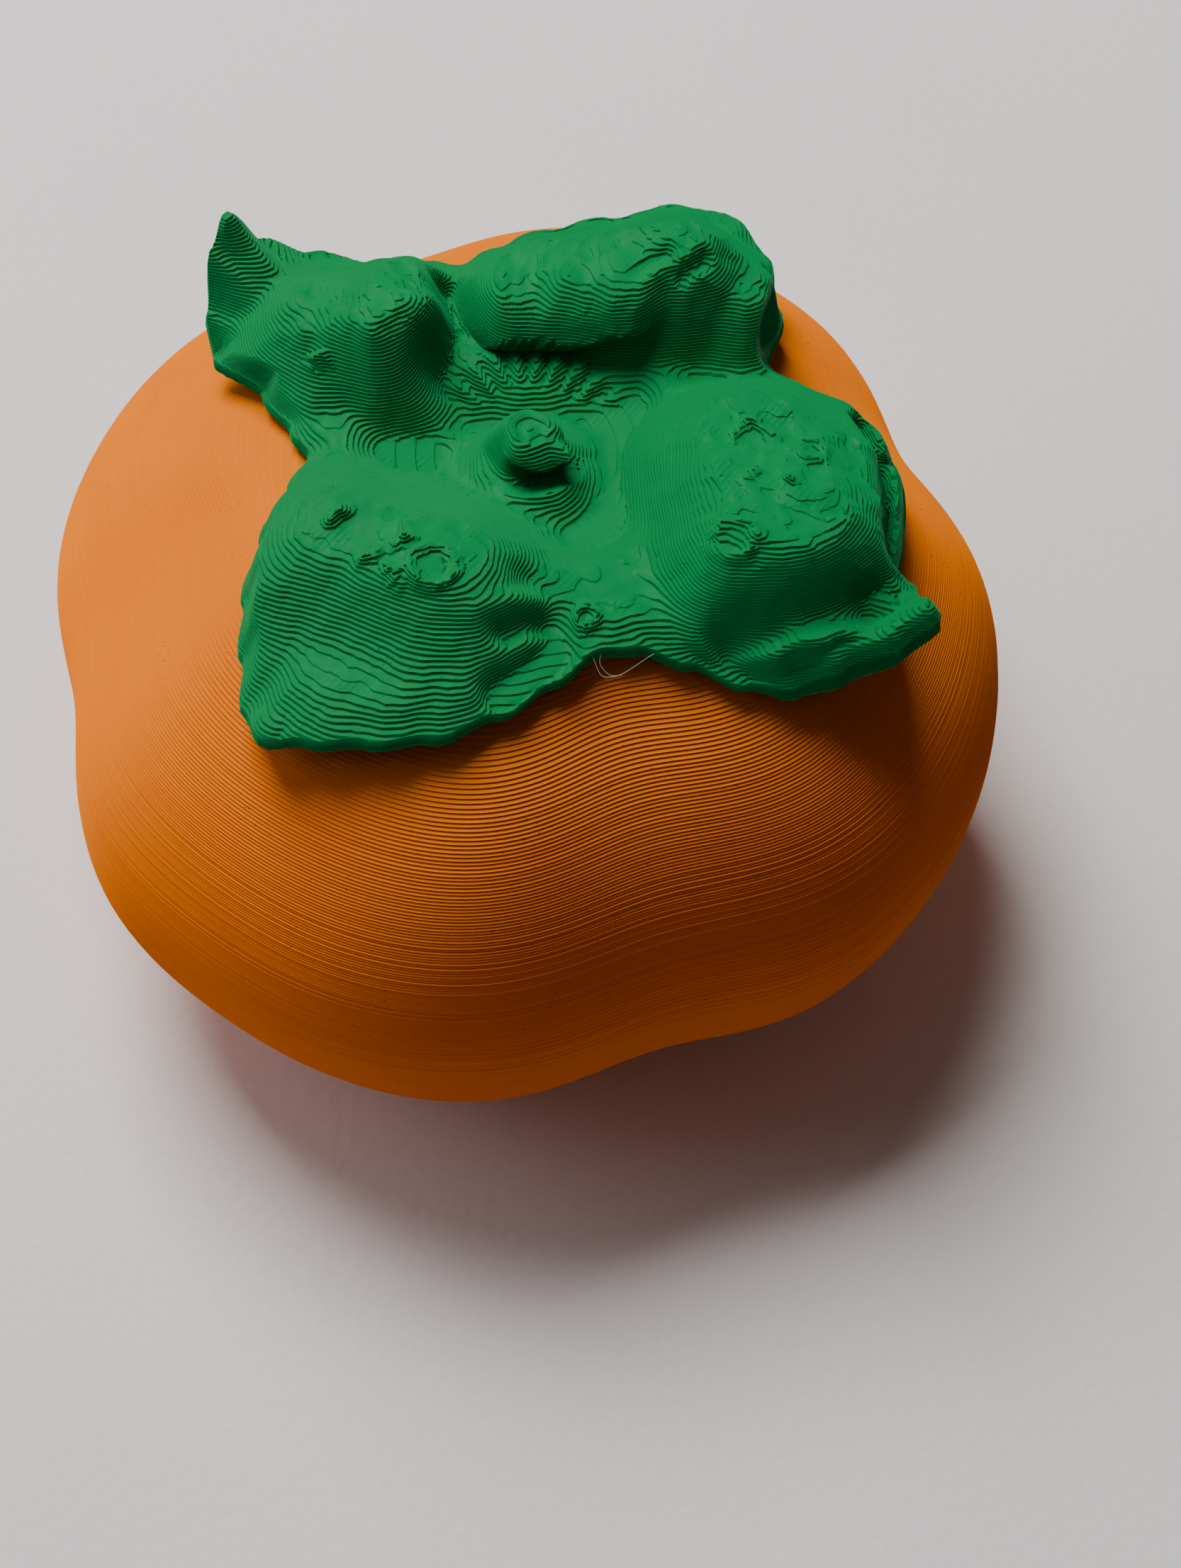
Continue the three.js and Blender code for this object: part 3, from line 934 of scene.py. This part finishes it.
    creases: tuple[Crease, ...] = (
        Crease((-5.0, 12.6), (-4.0, 8.8), 2.4, 1.0),
        Crease((2.4, -16.8), (-1.2, -19.4), 1.3, 1.0),
        Crease((-0.9, -16.0), (1.6, -14.9), 0.8, 0.8),
        Crease((0.8, -12.2), (2.6, -15.0), 0.7, 1.2),
        Crease((17.0, 5.2), (12.0, 6.0), 0.5, 1.6),
        Crease((23.2, 1.6), (24.7, -1.6), 1.6, 0.5),
        Crease((24.8, -1.6), (24.7, -9.6), 2.3, 0.55),
        Crease((13.8, -15.9), (23.4, -12.9), 2.1, 1.5),
        # Worms, loops and blobs that the last layers left on the level places.
        Crease((-10.0, -12.0), (-7.1, -10.3), -0.45, 0.34),
        Crease((-7.1, -10.3), (-7.4, -9.0), -0.4, 0.32),
        Crease((-5.4, -12.6), (-5.4, -12.6), -0.45, 0.3, 1.5),
        Crease((-8.4, -12.4), (-7.6, -13.8), -0.35, 0.3),
        Crease((-12.1, -8.8), (-11.6, -8.2), -0.6, 0.45),
        Crease((-11.2, -8.0), (-11.1, -7.9), -0.45, 0.35),
        Crease((19.4, -3.6), (19.4, -3.6), -0.4, 0.28, 0.9),
        Crease((17.7, -6.3), (17.7, -6.3), -0.5, 0.35),
        Crease((15.0, -6.1), (15.6, -5.5), -0.4, 0.3),
        Crease((14.2, -2.2), (15.4, -1.0), -0.4, 0.3),
        Crease((15.4, -1.0), (16.9, -2.1), -0.4, 0.3),
        Crease((13.9, -11.0), (13.9, -11.0), -0.45, 0.35, 1.3),
        Crease((-13.9, 5.0), (-13.2, 5.1), -0.55, 0.4),
        Crease((8.5, 11.4), (10.4, 12.2), 0.5, 0.5),
        Crease((11.2, 10.6), (12.8, 11.9), 0.6, 0.5),
        Crease((4.5, -14.4), (4.5, -14.4), -0.4, 0.25, 0.7),
        Crease((-4.9, 1.6), (-4.3, 1.4), -0.22, 0.75),
        Crease((6.2, 1.4), (6.4, 2.6), -0.3, 1.2),
    )
    wisps: tuple[Wisp, ...] = (
        Wisp(((4.6, -15.9, 42.0), (5.0, -17.0, 41.6), (5.4, -17.9, 40.9), (6.6, -17.9, 41.2),
              (7.4, -17.5, 41.5), (8.4, -17.0, 42.0), (8.9, -16.6, 41.9))),
        Wisp(((5.6, -16.0, 41.8), (5.2, -17.1, 41.4), (6.0, -17.7, 40.8), (6.9, -17.6, 40.9))),
    )

    def rim_at(self, turn: np.ndarray) -> tuple[np.ndarray, np.ndarray]:
        """Radius and lift of the leaves' edge.

        Args:
            turn: Azimuths in radians.

        Returns:
            The radii, and how far the edge curls up at each.
        """
        first = self.rim[0].azimuth
        around = (np.degrees(turn) - first) % 360 + first
        points = self.rim + (RimPoint(first + 360, self.rim[0].radius, self.rim[0].lift),)
        at = np.array([p.azimuth for p in points])
        k = np.clip(np.searchsorted(at, around, side="right") - 1, 0, len(at) - 2)
        share = smooth((around - at[k]) / (at[k + 1] - at[k]), 0, 1)
        values = np.array([(p.radius, p.lift) for p in points])
        found = values[k] + (values[k + 1] - values[k]) * share[:, None]
        return found[:, 0], found[:, 1]

    def underside(self, x: np.ndarray, y: np.ndarray) -> np.ndarray:
        """Height of the leaves' underside, which follows the fruit and curls up at the rim.

        Args:
            x: Plan x of the places.
            y: Plan y of the places.

        Returns:
            Heights above the base.
        """
        radius = np.hypot(x, y)
        edge, lift = self.rim_at(np.arctan2(y, x) % (2 * math.pi))
        share = np.clip((radius - self.hub_radius) / np.maximum(edge - self.hub_radius, 0.8), 0, 1.05)
        return self.shape.shoulder_height(radius) + self.gap_mm + lift * share ** 2

    def cliff(self, x: np.ndarray, y: np.ndarray) -> np.ndarray:
        """How much of the swellings the disc's steep back edge leaves standing, from 0 to 1.

        Args:
            x: Plan x of the places.
            y: Plan y of the places.

        Returns:
            The shares.
        """
        east, north = x - self.basin_at[0], y - self.basin_at[1]
        around = np.degrees(np.arctan2(north, east))
        edge = np.interp(around, *np.array(self.basin_edge).T)
        out = np.hypot(east, north) - edge
        here = smooth(around, 44, 70) * smooth(around, 172, 128)
        slope = smooth(around, 102, 128)
        lip = 0.72 * (1 - slope) * smooth(out, -0.2, 0.4)
        return 1 - 0.9 * here * (1 - lip - (0.28 + 0.72 * slope) * smooth(out, 0.1 - 0.3 * slope, 3.2))

    def top(self, x: np.ndarray, y: np.ndarray) -> np.ndarray:
        """Height of the upper surface: leaf, swellings and creases, and small unevenness.

        Args:
            x: Plan x of the places.
            y: Plan y of the places.

        Returns:
            Heights above the base.
        """
        radius = np.hypot(x, y)
        edge, _ = self.rim_at(np.arctan2(y, x) % (2 * math.pi))
        share = np.clip(radius / edge, 0, 1)
        leaf = self.underside(x, y) + self.leaf_mm + (self.rim_mm - self.leaf_mm) * smooth(share, 0.85, 1)
        base = self.disc_height + (leaf - self.disc_height) * smooth(radius, self.disc_radius - 0.5, 12.2)
        heaped = merged([base, *(swelling.height(x, y) for swelling in self.swellings)], self.blend_mm)
        height = base + (heaped - base) * (1 - smooth(share, 0.93, 1.0)) * self.cliff(x, y)
        for crease in self.creases:
            height = height - crease.depths(x, y)
        height = merged([height, *(ridge.height(x, y) for ridge in self.ridges)], self.ridge_blend_mm)
        # The very edge is thin and rounded, even where a ridge runs along it.
        height -= 0.55 * smooth(share, 0.975, 1.0) * np.maximum(height - self.underside(x, y) - self.rim_mm, 0)
        spots = np.stack([x, y, np.zeros_like(x)], 1)
        rough = grain(spots, 1.6, 5.0) + 0.6 * grain(spots, 0.8, 9.0)
        # The tops of the heaps are rougher, because their last layers are small islands.
        crest = smooth(heaped - base, 2.2, 4.2) * smooth(radius, 9, 11)
        outward = np.hypot(x - 1, y - 1)
        corrugated = 0.22 * np.sin(26 * np.arctan2(y - 1, x - 1)) * smooth(y, 3.6, 4.8) * smooth(
            outward, 4.0, 4.8) * smooth(outward, 7.4, 6.4)
        height += self.rough_mm * rough * (1 + 1.5 * crest) + 0.3 * grain(spots, 4.5, 2.0) + corrugated
        return np.maximum(height, self.underside(x, y) + self.edge_gap_mm)

    def top_rings(self) -> list[np.ndarray]:
        """Rings of the upper surface from the rim in to the stem, and up its stub to a point."""
        centre = np.array(self.stem_at)
        count = int(22 / self.cell_mm)
        rings = []
        for k in range(count, 0, -1):
            out = k / count
            columns = max(48, int(2 * math.pi * (3.0 + 20 * out) / self.cell_mm))
            turn = azimuths(columns)
            edge, _ = self.rim_at(turn)
            rim = np.stack([edge * np.cos(turn), edge * np.sin(turn)], 1)
            near = centre + self.stem_foot * np.stack([np.cos(turn), np.sin(turn)], 1)
            spot = near + (rim - near) * out
            rings.append(np.column_stack([spot, self.top(spot[:, 0], spot[:, 1])]))
        rings += self.stem_rings(centre)
        return rings

    def stem_rings(self, centre: np.ndarray) -> list[np.ndarray]:
        """Rings of the broken-off stub: sloping at its back left, undercut below a lip at its front right.

        Args:
            centre: The stub's middle in plan.

        Returns:
            Rings from its foot to its flat top, then one point.
        """
        columns = 56
        turn = azimuths(columns)
        under, nib, back = lobe(turn, 302, 58), lobe(turn, 328, 13), lobe(turn, 140, 75)
        # Distance and height where it isn't undercut, the same below the lip, and the nib's share.
        rows = ((2.65, 43.15, 2.2, 42.35, 0), (2.45, 43.55, 1.1, 42.5, 0), (2.25, 44.0, 0.8, 43.1, 0),
                (2.1, 44.4, 1.1, 43.65, 0), (2.0, 44.8, 2.0, 43.85, 0.2), (1.9, 45.1, 2.55, 44.0, 0.6),
                (1.8, 45.4, 2.65, 44.3, 1), (1.65, 45.65, 2.3, 44.7, 0.6), (1.42, 45.8, 1.8, 45.1, 0.2),
                (1.1, 45.85, 1.3, 45.45, 0), (0.8, 45.65, 0.9, 45.5, 0), (0.4, 45.7, 0.4, 45.6, 0))
        rings = []
        for plain, height, hollow, hollow_height, nib_share in rows:
            distance = plain + (hollow - plain) * under + 0.8 * nib * nib_share
            distance += back * np.clip(0.32 * (self.stem_top - height), 0, 0.62)
            rise = height + (hollow_height - height) * under + 0.55 * nib * nib_share
            uneven = 1 + 0.05 * np.sin(3 * turn + 1) + 0.03 * np.sin(5 * turn)
            spot = centre + (distance * uneven)[:, None] * np.stack([np.cos(turn), np.sin(turn)], 1)
            rings.append(np.column_stack([spot, rise]))
        return rings + [np.array([[*centre, self.stem_top - 0.12]])]

    def under_rings(self) -> list[np.ndarray]:
        """Rings of the spigot and of the leaves' underside, from the middle out to the rim's lower edge."""
        seat = float(self.shape.shoulder_height(self.shape.mouth_radius)) + self.gap_mm
        inner, foot = self.spigot_radius - self.spigot_wall, seat - self.spigot_depth
        disc_under = self.disc_height - self.disc_thickness
        rings = [turned_ring(0, disc_under, 1), turned_ring(inner, disc_under, 72),
                 turned_ring(inner, foot + 0.2, 72), turned_ring(inner + 0.2, foot, 72),
                 turned_ring(self.spigot_radius - 0.25, foot, 96),
                 turned_ring(self.spigot_radius, foot + 0.3, 96),
                 turned_ring(self.spigot_radius, seat, 120), turned_ring(self.hub_radius, seat, 120)]
        for out in (0.2, 0.4, 0.6, 0.8, 0.93, 1.0):
            columns = 132 if out < 0.9 else 260
            turn = azimuths(columns)
            edge, _ = self.rim_at(turn)
            distance = self.hub_radius + (np.maximum(edge, self.hub_radius + 0.8) - self.hub_radius) * out
            x, y = distance * np.cos(turn), distance * np.sin(turn)
            rings.append(np.column_stack([x, y, self.underside(x, y)]))
        return rings

    def overhang(self, points: np.ndarray) -> np.ndarray:
        """Leans the back right pillow over the disc, which leaves a dark slot below its front.

        Args:
            points: N by 3 positions in millimetres.

        Returns:
            The moved positions.
        """
        x, y, z = points.T
        reach = smooth(x, -5.0, -0.5) * smooth(x, 10.5, 7.5) * smooth(y, 7.8, 8.7) * smooth(y, 12.5, 9.4)
        moved = points.copy()
        moved[:, 1] -= 1.7 * reach * smooth(z, 42.0, 44.6)
        return moved

    def build(self) -> bpy.types.Object:
        """Makes the calyx's mesh and cuts it into layers."""
        top = self.top_rings()
        lower = self.under_rings()
        edge = lower[-1]
        rounding = np.column_stack([edge[:, :2] * (1 + 0.12 / np.hypot(edge[:, 0], edge[:, 1]))[:, None],
                                    edge[:, 2] + 0.35])
        points, triangles = loft(lower + [rounding] + top)
        points, triangles, broad = layered(self.overhang(points), triangles, self.bead_mm, self.level_share)
        pale = np.zeros(len(points))
        for wisp in self.wisps:
            strand, faces = wisp.tube()
            triangles = np.concatenate([triangles, faces + len(points)])
            points = np.concatenate([points, strand])
            broad, pale = np.append(broad, np.zeros(len(strand))), np.append(pale, np.ones(len(strand)))
        piece = mesh_object("calyx_lid_print", points * MM, triangles)
        for name, values in (("broad", broad), ("pale", pale)):
            piece.data.attributes.new(name, "FLOAT", "POINT").data.foreach_set("value", values)
        return piece


# Pin pad
# ------------

@dataclass
class PinPad:
    """Soft pad on the shell's floor: gathered cotton cover, wool stuffing, card disc and gathering thread."""

    radius_mm: float = 24.0
    bottom_mm: float = 4.2
    height_mm: float = 20.0
    fullness: float = 0.7
    cloth_mm: float = 0.8
    slack_mm: float = 0.9            # how much smaller the pad starts, before it is blown up
    voxel_mm: float = 1.8
    pleats: int = 22
    stuffing_gap_mm: float = 1.5     # cover's inside to the wool
    card_mm: float = 15.0            # radius of the card disc
    thread_mm: float = 0.8           # thickness of the gathering thread
    thread_ring_mm: float = 4.3
    ply_mm: float = 0.19             # radius of one ply, and of the helix that it takes

    def outline(self, inset_mm: float) -> tuple[np.ndarray, np.ndarray]:
        """Plain crowned form of the pad, drawn in all round by an inset.

        Args:
            inset_mm: How much smaller than the full pad.

        Returns:
            Vertices in metres, and triangles.
        """
        half = self.height_mm / 2 - inset_mm
        middle = self.bottom_mm + self.height_mm / 2
        rings = [turned_ring(0, middle - half, 1)]
        for turn in np.linspace(-math.pi / 2 * 0.82, math.pi / 2 * 0.96, 24):
            radius = (self.radius_mm - inset_mm) * math.cos(turn) ** self.fullness
            rings.append(turned_ring(radius, middle + half * math.sin(turn), 72))
        rings[1][:, 2] = middle - half
        rings.append(turned_ring(0, middle + half, 1))
        vertices, faces = loft(rings)
        return vertices * MM, faces

    def puffed(self, piece: bpy.types.Object) -> None:
        """Blows the cover up by cloth simulation, and keeps the result as its mesh.

        Args:
            piece: The cover in its slack form.
        """
        scene = bpy.context.scene
        scene.frame_set(1)
        start = positions(piece.data)
        cloth = piece.modifiers.new("Puff", "CLOTH")
        cloth.settings.uniform_pressure_force = 4.0
        cloth.settings.use_pressure = True
        cloth.settings.effector_weights.gravity = 0.0
        cloth.settings.quality = 5
        for frame_number in range(1, CLOTH_FRAMES + 1):
            scene.frame_set(frame_number)
        moved = positions(evaluated(piece).data) - start
        piece.modifiers.remove(cloth)
        scene.frame_set(1)
        length = np.linalg.norm(moved, axis=1, keepdims=True)
        moved *= np.minimum(1, self.slack_mm * MM / np.maximum(length, 1e-9))
        piece.data.vertices.foreach_set("co", (start + moved).ravel())
        piece.data.update()

    def apply(self, piece: bpy.types.Object, kind: str, **settings: object) -> None:
        """Adds a modifier to a piece and makes its result the piece's mesh.

        Args:
            piece: The mesh object.
            kind: Blender's type of modifier.
            **settings: Attributes of the modifier.
        """
        modifier = piece.modifiers.new(kind.title(), kind)
        for key, value in settings.items():
            setattr(modifier, key, value)
        mesh = bpy.data.meshes.new_from_object(evaluated(piece))
        piece.modifiers.clear()
        piece.data = mesh

    def gathered(self, points_mm: np.ndarray) -> np.ndarray:
        """Presses the gathering's pleats into the cover's underside and lower side, and soft dents above.

        Args:
            points_mm: N by 3 positions.

        Returns:
            The moved positions, flat where the pad rests on its card.
        """
        x, y, z = points_mm.T
        turn, radius = np.arctan2(y, x), np.hypot(x, y)
        low = smooth(z, self.bottom_mm + 11, self.bottom_mm + 1)
        ripple = np.abs(np.sin(self.pleats / 2 * turn + 0.5 * np.sin(3 * turn))) ** 0.7
        inward = 1.1 * low * (1 - ripple) + 0.35 * (grain(points_mm, 7, 1.0) + 0.4) * smooth(z, 8, 20)
        middle = np.array([0, 0, self.bottom_mm + self.height_mm / 2])
        away = points_mm - middle
        moved = points_mm - away / np.linalg.norm(away, axis=1, keepdims=True) * inward[:, None]
        resting = (radius < self.card_mm + 2) & (z < self.bottom_mm + 2)
        moved[:, 2] = np.where(resting, np.maximum(moved[:, 2], self.bottom_mm), moved[:, 2])
        return moved

    def cover(self) -> bpy.types.Object:
        """Makes the cotton cover: blown up, gathered below, then given the thickness of its cloth."""
        vertices, faces = self.outline(self.slack_mm)
        piece = mesh_object("pad_cover_cloth", vertices, faces)
        self.apply(piece, "REMESH", mode="VOXEL", voxel_size=self.voxel_mm * MM)
        self.puffed(piece)
        self.apply(piece, "SUBSURF", levels=2, render_levels=2)
        points = positions(piece.data) / MM
        piece.data.vertices.foreach_set("co", (self.gathered(points) * MM).ravel())
        self.apply(piece, "SOLIDIFY", thickness=self.cloth_mm * MM, offset=-1.0)
        piece.data.polygons.foreach_set("use_smooth", [True] * len(piece.data.polygons))
        return piece

    def thread(self) -> bpy.types.Object:
        """Makes the two-ply gathering thread, a closed ring of two twisted strands."""
        count, sides, turns = 260, 8, 34
        strands, faces = [], []
        for ply in range(2):
            turn = azimuths(count)
            twist = turns * turn + math.pi * ply
            radius = self.thread_ring_mm + self.ply_mm * np.cos(twist)
            height = self.bottom_mm + self.thread_mm / 2 + 0.02 + self.ply_mm * np.sin(twist)
            for around in np.arange(sides) * math.pi / 4:
                out = radius + self.ply_mm * math.cos(around)
                strands.append(np.stack([out * np.cos(turn), out * np.sin(turn),
                                         height + self.ply_mm * math.sin(around)], 1))
            first = ply * sides * count
            for side in range(sides):
                faces += ring_faces(first + side * count, first + (side + 1) % sides * count, count)
        return mesh_object("gather_thread_plies", np.concatenate(strands) * MM, faces)

    def card(self) -> bpy.types.Object:
        """Makes the cut card disc, with a slightly crushed edge."""
        low, high = self.bottom_mm - 1.5, self.bottom_mm - 0.3
        rows = ((0, low), (self.card_mm - 0.25, low), (self.card_mm, low + 0.25),
                (self.card_mm - 0.02, high - 0.3), (self.card_mm - 0.3, high), (0, high))
        vertices, faces = loft([turned_ring(radius, height, 96 if radius else 1) for radius, height in rows])
        return mesh_object("pad_base_card", vertices * MM, faces)

    def stuffing(self) -> bpy.types.Object:
        """Makes the wool stuffing, which fills the plain form just inside the cover."""
        vertices, faces = self.outline(self.cloth_mm + self.stuffing_gap_mm)
        points = vertices / MM
        points += 0.2 * grain(points, 3, 6.0)[:, None] * [1, 1, 0]
        return mesh_object("pad_filling_wool", points * MM, faces)


# Studio
# ------------

@dataclass(frozen=True)
class SoftBox:
    """Square studio light aimed at the middle of the object; places in metres, size in metres."""

    name: str
    place: tuple[float, float, float]
    size: float
    watts: float
    colour: str = "#ffffff"

    def build(self, target: Vector) -> bpy.types.Object:
        """Makes the light.

        Args:
            target: What it is aimed at.

        Returns:
            The lamp.
        """
        light = bpy.data.lights.new(self.name, "AREA")
        light.size, light.energy, light.color = self.size, self.watts, linear(self.colour)[:3]
        lamp = bpy.data.objects.new(self.name, light)
        lamp.location = self.place
        lamp.rotation_euler = (target - Vector(self.place)).to_track_quat("-Z", "Y").to_euler()
        bpy.context.scene.collection.objects.link(lamp)
        return lamp


@dataclass
class Studio:
    """Pale floor, soft lights and the camera."""

    elevation: float = 55.0
    distance: float = 0.2
    target_height: float = 0.02
    lens: float = 61.67
    shift: tuple[float, float] = (0.0471, -0.0937)
    floor_size: float = 3.0
    sensor: float = 36.0
    clip_start: float = 0.01
    sky: float = 0.06
    sky_colour: str = "#eef1f6"
    lights: tuple[SoftBox, ...] = (
        SoftBox("key_light", (-0.18, 0.29, 0.59), 0.34, 6.1, "#fffaf5"),
        SoftBox("left_light", (-0.58, 0.10, 0.34), 0.5, 1.3, "#f6f7ff"),
    )

    def build(self) -> None:
        """Makes the floor, the lights, the sky and the camera."""
        scene = bpy.context.scene
        half = self.floor_size / 2
        floor = mesh_object("floor", np.array([(-half, -half, 0), (half, -half, 0), (half, half, 0),
                                               (-half, half, 0)]), [(0, 1, 2, 3)], is_smooth=False)
        floor.data.materials.append(PaleBacking().material())
        target = Vector((0, 0, self.target_height))
        for light in self.lights:
            light.build(target)
        world = bpy.data.worlds.new("soft_sky")
        world.use_nodes = True
        sky = world.node_tree.nodes["Background"]
        sky.inputs["Color"].default_value = linear(self.sky_colour)
        sky.inputs["Strength"].default_value = self.sky
        scene.world = world
        lens = bpy.data.cameras.new("camera")
        lens.lens, lens.sensor_width = self.lens, self.sensor
        lens.shift_x, lens.shift_y = self.shift
        lens.clip_start = self.clip_start
        camera = bpy.data.objects.new("camera", lens)
        up = math.radians(self.elevation)
        camera.location = target + self.distance * Vector((0, -math.cos(up), math.sin(up)))
        camera.rotation_euler = (math.radians(90 - self.elevation), 0, 0)
        scene.collection.objects.link(camera)
        scene.camera = camera


def main() -> None:
    """Builds the studio, then each piece in turn."""
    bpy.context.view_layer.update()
    Studio().build()
    pad = PinPad()
    cover = pad.cover()
    made = (
        (FruitShell().build(), "fruit", "fruit_shell", Finish.ORANGE_PLA),
        (CalyxLid().build(), "lid", "calyx_lid", Finish.GREEN_PLA),
        (cover, "fruit", "pad_cover", Finish.COTTON),
        (pad.stuffing(), "fruit", "pad_filling", Finish.WOOL),
        (pad.card(), "fruit", "pad_base", Finish.CARD),
        (pad.thread(), "fruit", "gather_thread", Finish.THREAD),
    )
    for piece, body, node, finish in made:
        finish.dress(piece)
        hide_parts(node)
        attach(piece, body)
        log.info("%s: %d faces, rides %s", piece.name, len(piece.data.polygons), body)


if __name__ == "__main__":
    main()
